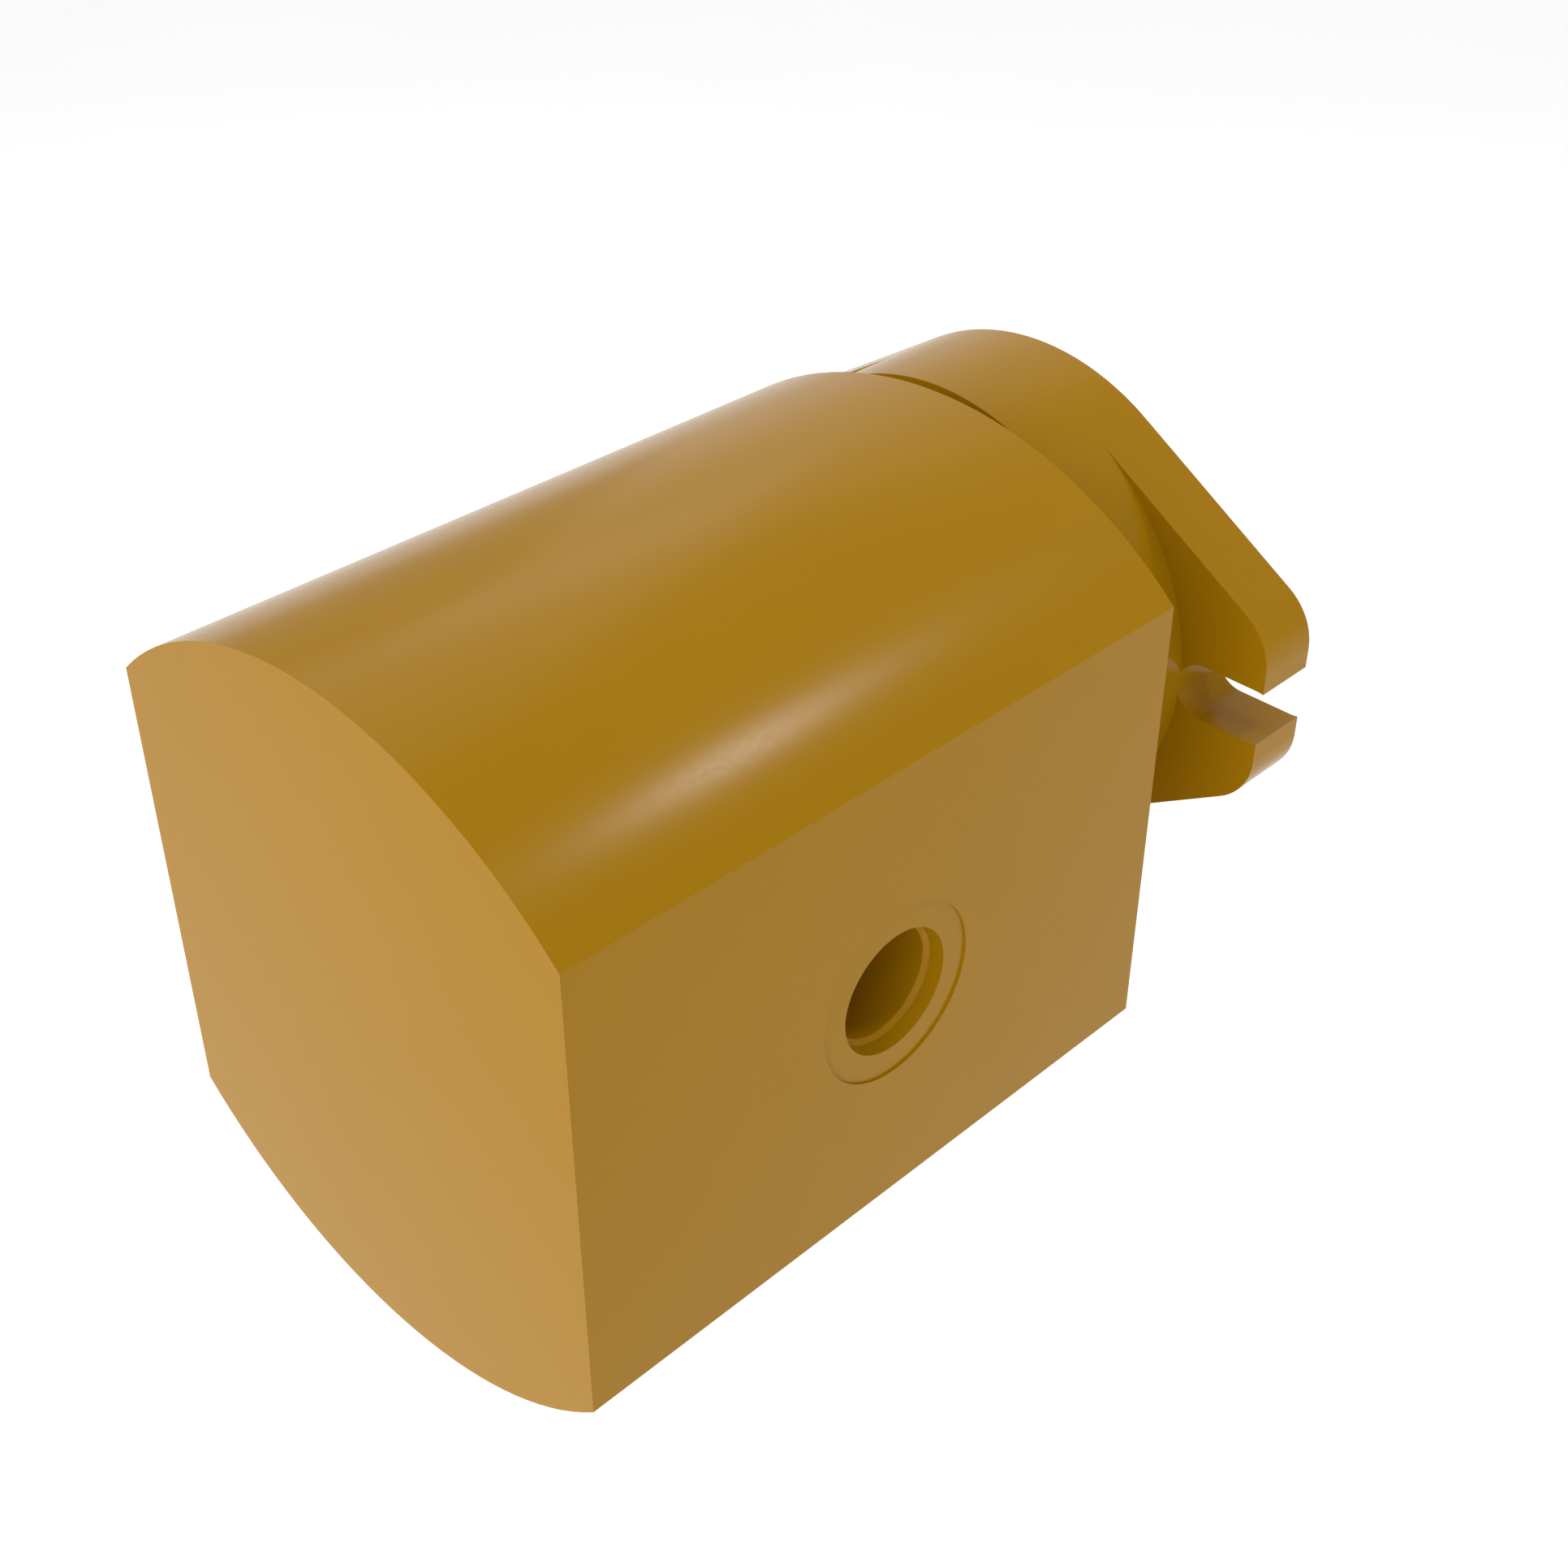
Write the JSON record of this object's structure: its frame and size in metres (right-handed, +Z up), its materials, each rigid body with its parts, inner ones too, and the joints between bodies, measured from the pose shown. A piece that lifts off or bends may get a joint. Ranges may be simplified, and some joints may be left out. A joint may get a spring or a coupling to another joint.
{
  "type": "hydraulic gear pump",
  "caption": "Compact external gear pump: blind-backed body with flat ported sides and arched top and bottom, offset two-bolt slotted flange with round pilot, and a keyed drive shaft.",
  "frame": {"origin": "centre of the pilot on the mounting face, which is the drive shaft's axis", "axes": "+Y runs out of the mounting face along the drive shaft, +Z is up, and X runs across the flange through its two slots"},
  "size_m": [0.1316, 0.2105, 0.1271],
  "materials": {
    "gold_casting": "satin gold-coloured finish",
    "screw_steel": "black-oxide steel",
    "ground_steel": "ground hardened steel",
    "bearing_steel": "polished bearing steel",
    "cage_brass": "machined brass",
    "spring_steel": "dark phosphated spring steel",
    "plated_steel": "zinc-plated steel",
    "seal_rubber": "black nitrile rubber",
    "block_aluminium": "machined aluminium",
    "plate_bronze": "lapped bronze",
    "bush_bronze": "sintered bronze"
  },
  "bodies": {
    "housing": {"pump_body": "gold_casting", "front_cover": "gold_casting", "mounting_flange": "gold_casting", "cover_screws": "screw_steel", "flange_screws": "screw_steel", "dowel_pins": "ground_steel", "cover_seal": "seal_rubber", "flange_seal": "seal_rubber", "front_bearing_block": "block_aluminium", "rear_bearing_block": "block_aluminium", "front_block_seal": "seal_rubber", "rear_block_seal": "seal_rubber", "front_thrust_plate": "plate_bronze", "rear_thrust_plate": "plate_bronze", "front_drive_bush": "bush_bronze", "front_driven_bush": "bush_bronze", "rear_drive_bush": "bush_bronze", "rear_driven_bush": "bush_bronze", "bearing_outer_ring": "bearing_steel", "bearing_circlip": "spring_steel", "seal_case": "plated_steel", "shaft_seal": "seal_rubber", "seal_spring": "plated_steel"},
    "drive_shaft": {"drive_gear_shaft": "ground_steel", "bearing_inner_ring": "bearing_steel", "shaft_circlip": "spring_steel"},
    "driven_shaft": {"driven_gear_shaft": "ground_steel"},
    "ball_set": {"bearing_cage": "cage_brass", "bearing_balls": "bearing_steel"}
  },
  "joints": [
    {"name": "drive_shaft_spin", "type": "hinge", "parent": "housing", "child": "drive_shaft", "pos_m": [0, 0, 0], "axis": [0, 1, 0], "continuous": true},
    {"name": "driven_shaft_spin", "type": "hinge", "parent": "housing", "child": "driven_shaft", "pos_m": [0.02452, -0.1069, -0.01586], "axis": [0, 1, 0], "continuous": true},
    {"name": "ball_set_spin", "type": "hinge", "parent": "housing", "child": "ball_set", "pos_m": [0, -0.006, 0], "axis": [0, 1, 0], "continuous": true}
  ],
  "couplings": [
    {"joint": "driven_shaft_spin", "follows": "drive_shaft_spin", "ratio": -1},
    {"joint": "ball_set_spin", "follows": "drive_shaft_spin", "ratio": 0.38149}
  ]
}
